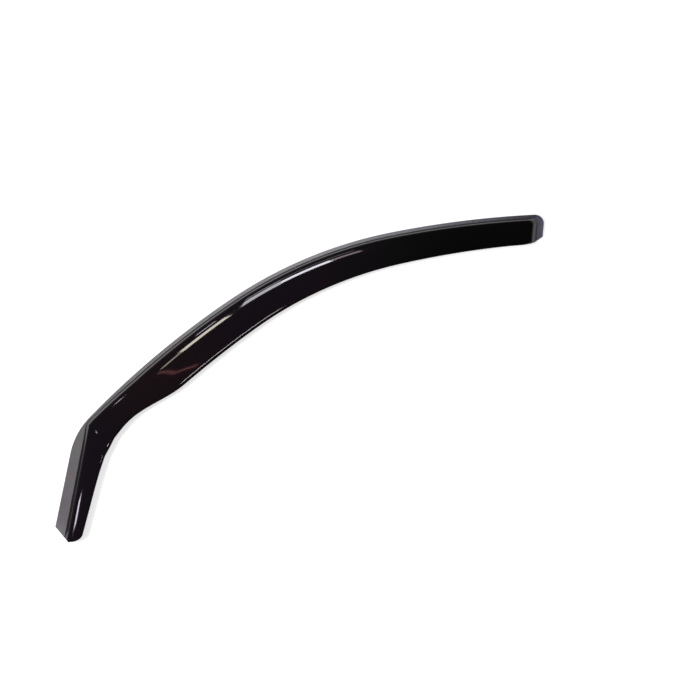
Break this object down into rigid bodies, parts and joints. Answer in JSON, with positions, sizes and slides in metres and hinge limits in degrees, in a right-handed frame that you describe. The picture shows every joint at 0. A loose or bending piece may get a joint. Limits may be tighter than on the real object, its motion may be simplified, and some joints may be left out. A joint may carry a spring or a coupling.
{
  "type": "window rain deflector",
  "caption": "Smoked acrylic rain and wind deflector for a front door's side window: crowned visor face on a stepped flat bonding flange, with a closed rear end.",
  "frame": {"origin": "centre of the plan box at the underside of the flange, which is the bonding face", "axes": "+X towards the rear end of the window along the long side, +Y towards the roof, +Z out from the bonding face, away from the door"},
  "size_m": [0.7954, 0.569, 0.0125],
  "materials": {
    "smoked_acrylic": "glossy thermoformed acrylic sheet, dark smoke tint, paler where the thin flange lies on what is behind it"
  },
  "bodies": {
    "root": {"deflector": "smoked_acrylic"}
  },
  "joints": []
}
